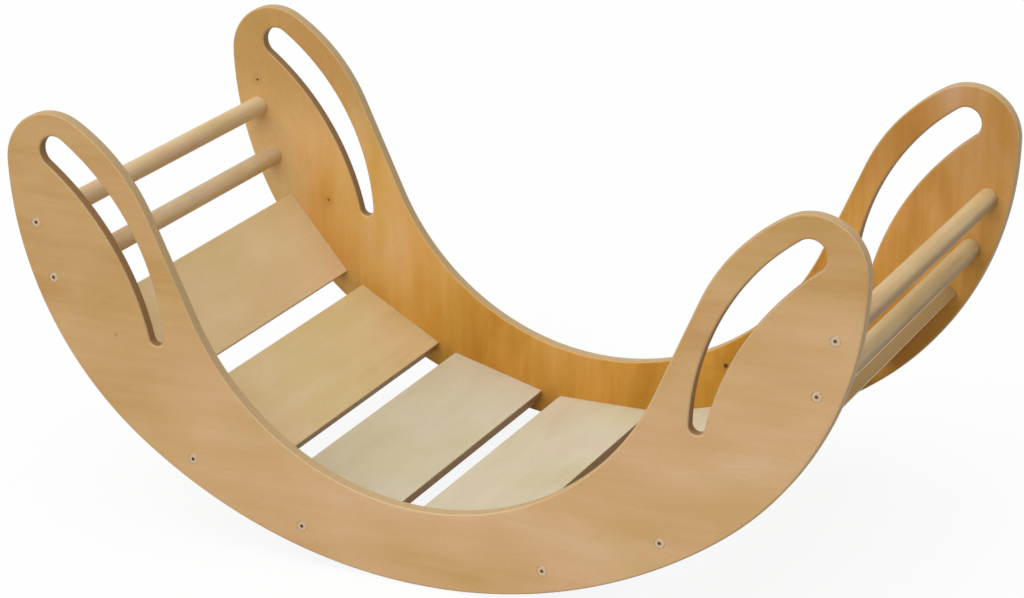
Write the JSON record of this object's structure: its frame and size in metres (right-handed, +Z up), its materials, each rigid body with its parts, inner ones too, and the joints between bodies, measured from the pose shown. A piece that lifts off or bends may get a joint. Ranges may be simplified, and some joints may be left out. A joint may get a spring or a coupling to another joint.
{
  "type": "climbing arch",
  "caption": "Wooden climbing arch lying as a rocker: two crescent plywood sides with long hand slots, joined by flat slats and round rungs.",
  "frame": {"origin": "on the floor, under the middle of the arch", "axes": "+X along the length, +Y across the width towards side_back, +Z up, with the arch lying on its curved edge"},
  "size_m": [1.0686, 0.54, 0.5139],
  "materials": {
    "side_plywood": "satin clear oil",
    "slat_plywood": "satin clear oil",
    "rung_wood": "satin clear oil",
    "pin_wood": "bare",
    "screw_steel": "bright zinc"
  },
  "bodies": {
    "root": {"side_front": "side_plywood", "side_back": "side_plywood", "rung_left_upper": "rung_wood", "rung_left_lower": "rung_wood", "rung_right_lower": "rung_wood", "rung_right_upper": "rung_wood", "slat_1": "slat_plywood", "slat_2": "slat_plywood", "slat_3": "slat_plywood", "slat_4": "slat_plywood", "slat_5": "slat_plywood", "slat_6": "slat_plywood", "slat_7": "slat_plywood", "screw_front_rung_left_upper": "screw_steel", "screw_front_rung_left_lower": "screw_steel", "screw_front_rung_right_lower": "screw_steel", "screw_front_rung_right_upper": "screw_steel", "screw_front_slat_2": "screw_steel", "screw_front_slat_3": "screw_steel", "screw_front_slat_5": "screw_steel", "screw_front_slat_6": "screw_steel", "screw_back_rung_left_upper": "screw_steel", "screw_back_rung_left_lower": "screw_steel", "screw_back_rung_right_lower": "screw_steel", "screw_back_rung_right_upper": "screw_steel", "screw_back_slat_2": "screw_steel", "screw_back_slat_3": "screw_steel", "screw_back_slat_5": "screw_steel", "screw_back_slat_6": "screw_steel", "pin_front_slat_1_a": "pin_wood", "pin_front_slat_1_b": "pin_wood", "pin_front_slat_2_a": "pin_wood", "pin_front_slat_2_b": "pin_wood", "pin_front_slat_3_a": "pin_wood", "pin_front_slat_3_b": "pin_wood", "pin_front_slat_4_a": "pin_wood", "pin_front_slat_4_b": "pin_wood", "pin_front_slat_5_a": "pin_wood", "pin_front_slat_5_b": "pin_wood", "pin_front_slat_6_a": "pin_wood", "pin_front_slat_6_b": "pin_wood", "pin_front_slat_7_a": "pin_wood", "pin_front_slat_7_b": "pin_wood", "pin_back_slat_1_a": "pin_wood", "pin_back_slat_1_b": "pin_wood", "pin_back_slat_2_a": "pin_wood", "pin_back_slat_2_b": "pin_wood", "pin_back_slat_3_a": "pin_wood", "pin_back_slat_3_b": "pin_wood", "pin_back_slat_4_a": "pin_wood", "pin_back_slat_4_b": "pin_wood", "pin_back_slat_5_a": "pin_wood", "pin_back_slat_5_b": "pin_wood", "pin_back_slat_6_a": "pin_wood", "pin_back_slat_6_b": "pin_wood", "pin_back_slat_7_a": "pin_wood", "pin_back_slat_7_b": "pin_wood"}
  },
  "joints": []
}
